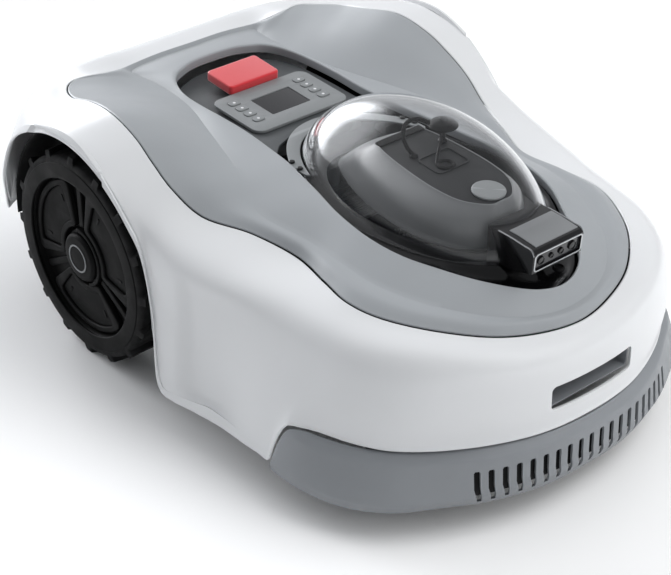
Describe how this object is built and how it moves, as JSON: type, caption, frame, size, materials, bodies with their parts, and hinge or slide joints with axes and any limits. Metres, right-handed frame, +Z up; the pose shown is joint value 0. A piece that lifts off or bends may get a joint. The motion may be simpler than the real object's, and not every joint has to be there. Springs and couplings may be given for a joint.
{
  "type": "robotic lawn mower",
  "caption": "Low battery mower with lugged rear drive wheels, front casters, sprung bumper, stop button, keypad, camera dome and a height-set cutter.",
  "frame": {"origin": "on the ground under the middle of the machine's bounding box", "axes": "+Z up, nose along -Y, right-hand side (seen from behind, facing the nose) towards -X"},
  "size_m": [0.5154, 0.7156, 0.318],
  "materials": {
    "white_shell": "glossy pearl white moulding",
    "grey_panel": "satin mid grey, fine moulded texture",
    "bumper_grey": "matte grey, slightly soft moulding",
    "black_plastic": "matte black moulded plastic",
    "gloss_black": "piano black",
    "tread_rubber": "hard rubber tread with lugs",
    "recess_grey": "dark grey, matte",
    "bezel_grey": "satin light grey",
    "display_dark": "dark display window",
    "stop_red": "satin red moulding",
    "clear_dome": "clear slightly smoked polycarbonate",
    "smoke_plastic": "smoky grey moulding",
    "steel": "brushed steel",
    "circuit_board": "solder-masked board",
    "battery_wrap": "heat-shrink wrapped cells"
  },
  "bodies": {
    "chassis": {"shell": "white_shell", "top_panel": "grey_panel", "chassis_tub": "black_plastic", "left_arch_liner": "black_plastic", "right_arch_liner": "black_plastic", "recess_tray": "recess_grey", "keypad_bezel": "bezel_grey", "display_screen": "display_dark", "sensor_bowl": "gloss_black", "dome_cover": "clear_dome", "dome_flange": "bezel_grey", "left_flange_screw": "gloss_black", "right_flange_screw": "gloss_black", "sensor_pod": "smoke_plastic", "antenna_disc": "smoke_plastic", "antenna_mast": "black_plastic", "antenna_cable": "gloss_black", "cable_connector": "gloss_black", "camera_housing": "gloss_black", "camera_window": "display_dark", "cutter_bridge": "steel", "height_motor": "recess_grey", "left_drive_motor": "recess_grey", "right_drive_motor": "recess_grey", "dock_slot_liner": "bumper_grey", "left_charge_contact": "steel", "right_charge_contact": "steel", "main_board": "circuit_board", "battery_pack": "battery_wrap", "battery_cover": "black_plastic"},
    "stop_button": {"stop_button": "stop_red"},
    "bumper": {"bumper": "bumper_grey"},
    "key_1": {"key_1": "bezel_grey"},
    "key_2": {"key_2": "bezel_grey"},
    "key_3": {"key_3": "bezel_grey"},
    "key_4": {"key_4": "bezel_grey"},
    "key_5": {"key_5": "bezel_grey"},
    "key_6": {"key_6": "bezel_grey"},
    "key_7": {"key_7": "bezel_grey"},
    "key_8": {"key_8": "bezel_grey"},
    "left_wheel": {"left_tyre": "tread_rubber", "left_rim": "black_plastic", "left_hub_cap": "black_plastic"},
    "left_caster_fork": {"left_caster_fork": "black_plastic", "left_caster_axle": "steel"},
    "left_caster_wheel": {"left_caster_wheel": "tread_rubber"},
    "right_wheel": {"right_tyre": "tread_rubber", "right_rim": "black_plastic", "right_hub_cap": "black_plastic"},
    "right_caster_fork": {"right_caster_fork": "black_plastic", "right_caster_axle": "steel"},
    "right_caster_wheel": {"right_caster_wheel": "tread_rubber"},
    "cutter_carriage": {"cutter_carriage": "black_plastic"},
    "lead_screw": {"lead_screw": "steel"},
    "blade_disc": {"blade_disc": "black_plastic"},
    "skid_plate": {"skid_plate": "recess_grey"},
    "blade_1": {"blade_1": "steel"},
    "blade_2": {"blade_2": "steel"},
    "blade_3": {"blade_3": "steel"}
  },
  "joints": [
    {"name": "stop_button_press", "type": "slide", "parent": "chassis", "child": "stop_button", "axis": [0, 0.0789, -0.9969], "range_m": [0, 0.004], "stiffness_N_per_m": 1200, "springref_m": -0.001},
    {"name": "key_1_press", "type": "slide", "parent": "chassis", "child": "key_1", "axis": [0, 0.049, -0.9988], "range_m": [0, 0.001], "stiffness_N_per_m": 300, "springref_m": -0.0005},
    {"name": "key_2_press", "type": "slide", "parent": "chassis", "child": "key_2", "axis": [0, 0.049, -0.9988], "range_m": [0, 0.001], "stiffness_N_per_m": 300, "springref_m": -0.0005},
    {"name": "key_3_press", "type": "slide", "parent": "chassis", "child": "key_3", "axis": [0, 0.049, -0.9988], "range_m": [0, 0.001], "stiffness_N_per_m": 300, "springref_m": -0.0005},
    {"name": "key_4_press", "type": "slide", "parent": "chassis", "child": "key_4", "axis": [0, 0.049, -0.9988], "range_m": [0, 0.001], "stiffness_N_per_m": 300, "springref_m": -0.0005},
    {"name": "key_5_press", "type": "slide", "parent": "chassis", "child": "key_5", "axis": [0, 0.049, -0.9988], "range_m": [0, 0.001], "stiffness_N_per_m": 300, "springref_m": -0.0005},
    {"name": "key_6_press", "type": "slide", "parent": "chassis", "child": "key_6", "axis": [0, 0.049, -0.9988], "range_m": [0, 0.001], "stiffness_N_per_m": 300, "springref_m": -0.0005},
    {"name": "key_7_press", "type": "slide", "parent": "chassis", "child": "key_7", "axis": [0, 0.049, -0.9988], "range_m": [0, 0.001], "stiffness_N_per_m": 300, "springref_m": -0.0005},
    {"name": "key_8_press", "type": "slide", "parent": "chassis", "child": "key_8", "axis": [0, 0.049, -0.9988], "range_m": [0, 0.001], "stiffness_N_per_m": 300, "springref_m": -0.0005},
    {"name": "bumper_push", "type": "slide", "parent": "chassis", "child": "bumper", "axis": [0, 1, 0], "range_m": [0, 0.003], "stiffness_N_per_m": 1500, "springref_m": -0.001},
    {"name": "left_wheel_spin", "type": "hinge", "parent": "chassis", "child": "left_wheel", "pos_m": [-0.22, 0.165, 0.12], "axis": [1, 0, 0], "continuous": true},
    {"name": "right_wheel_spin", "type": "hinge", "parent": "chassis", "child": "right_wheel", "pos_m": [0.22, 0.165, 0.12], "axis": [1, 0, 0], "continuous": true},
    {"name": "left_caster_swivel", "type": "hinge", "parent": "chassis", "child": "left_caster_fork", "pos_m": [-0.118, -0.19, 0.1], "axis": [0, 0, 1], "continuous": true},
    {"name": "left_caster_roll", "type": "hinge", "parent": "left_caster_fork", "child": "left_caster_wheel", "pos_m": [-0.118, -0.172, 0.042], "axis": [1, 0, 0], "continuous": true},
    {"name": "right_caster_swivel", "type": "hinge", "parent": "chassis", "child": "right_caster_fork", "pos_m": [0.118, -0.19, 0.1], "axis": [0, 0, 1], "continuous": true},
    {"name": "right_caster_roll", "type": "hinge", "parent": "right_caster_fork", "child": "right_caster_wheel", "pos_m": [0.118, -0.172, 0.042], "axis": [1, 0, 0], "continuous": true},
    {"name": "cutting_height", "type": "slide", "parent": "chassis", "child": "cutter_carriage", "axis": [0, 0, 1], "range_m": [-0.02, 0.02]},
    {"name": "lead_screw_turn", "type": "hinge", "parent": "chassis", "child": "lead_screw", "pos_m": [0, 0.042, 0.14], "axis": [0, 0, 1], "range_deg": [-902, 902]},
    {"name": "blade_disc_spin", "type": "hinge", "parent": "cutter_carriage", "child": "blade_disc", "pos_m": [0, -0.01, 0.056], "axis": [0, 0, 1], "continuous": true},
    {"name": "skid_plate_spin", "type": "hinge", "parent": "blade_disc", "child": "skid_plate", "pos_m": [0, -0.01, 0.047], "axis": [0, 0, 1], "continuous": true},
    {"name": "blade_1_swing", "type": "hinge", "parent": "blade_disc", "child": "blade_1", "pos_m": [0.088, -0.01, 0.0532], "axis": [0, 0, 1], "continuous": true},
    {"name": "blade_2_swing", "type": "hinge", "parent": "blade_disc", "child": "blade_2", "pos_m": [-0.044, 0.06621, 0.0532], "axis": [0, 0, 1], "continuous": true},
    {"name": "blade_3_swing", "type": "hinge", "parent": "blade_disc", "child": "blade_3", "pos_m": [-0.044, -0.08621, 0.0532], "axis": [0, 0, 1], "continuous": true}
  ],
  "couplings": [
    {"joint": "lead_screw_turn", "follows": "cutting_height", "rad_per_m": 785.4}
  ]
}
